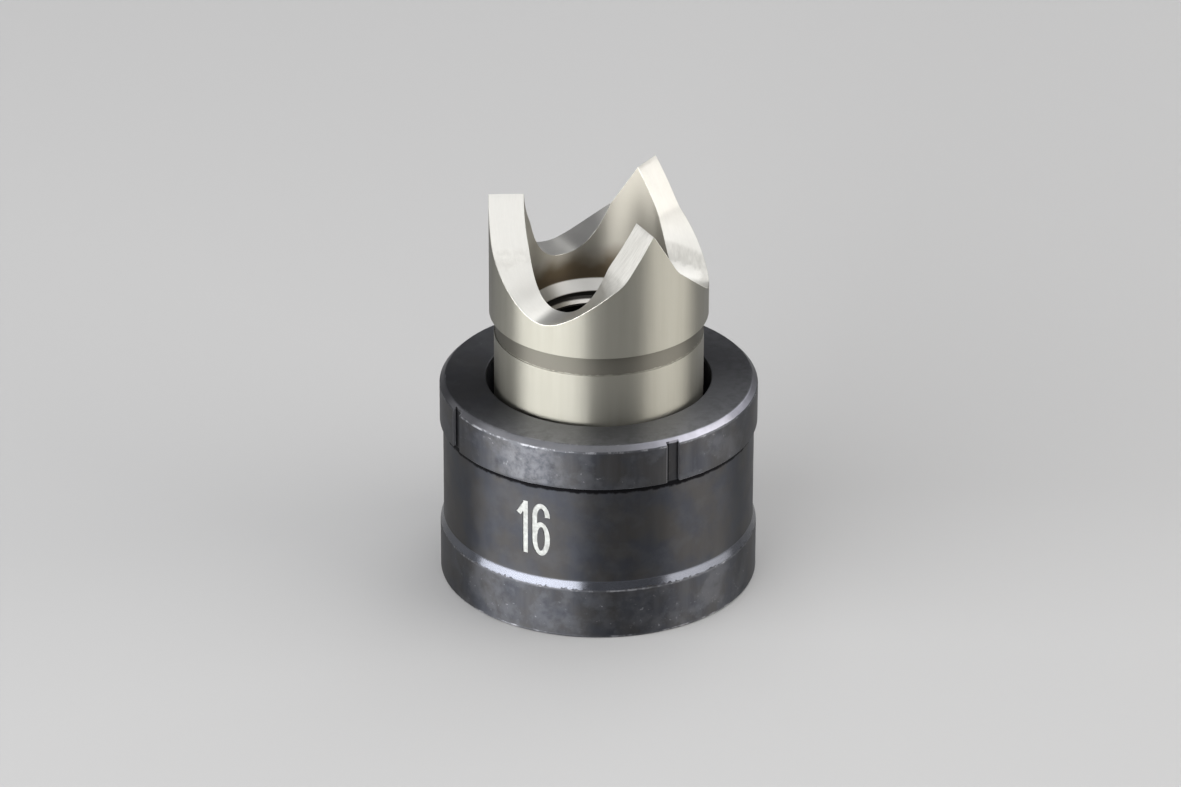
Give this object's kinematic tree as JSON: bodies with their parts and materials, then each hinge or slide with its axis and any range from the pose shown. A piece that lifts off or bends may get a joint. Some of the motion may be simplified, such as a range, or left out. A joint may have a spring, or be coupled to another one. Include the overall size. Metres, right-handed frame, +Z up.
{
  "type": "knockout punch",
  "caption": "Three-point hole punch with a threaded bore, standing foot down in its recessed round die with a stud hole in the floor.",
  "frame": {"origin": "centre of the die's foot, on the surface it stands on", "axes": "+Z up along the axis that the die and the punch share, -Y the front, with the size number and one notch"},
  "size_m": [0.0236, 0.0236, 0.0305],
  "materials": {
    "die_black_oxide": "black oxide over turned steel, rubbed grey on the bands",
    "punch_satin_nickel": "satin nickel over ground steel"
  },
  "bodies": {
    "die": {"die": "die_black_oxide"},
    "punch": {"punch": "punch_satin_nickel"}
  },
  "joints": [
    {"name": "punch_slide", "type": "slide", "parent": "die", "child": "punch", "axis": [0, 0, 1], "range_m": [0, 0.0115]}
  ]
}
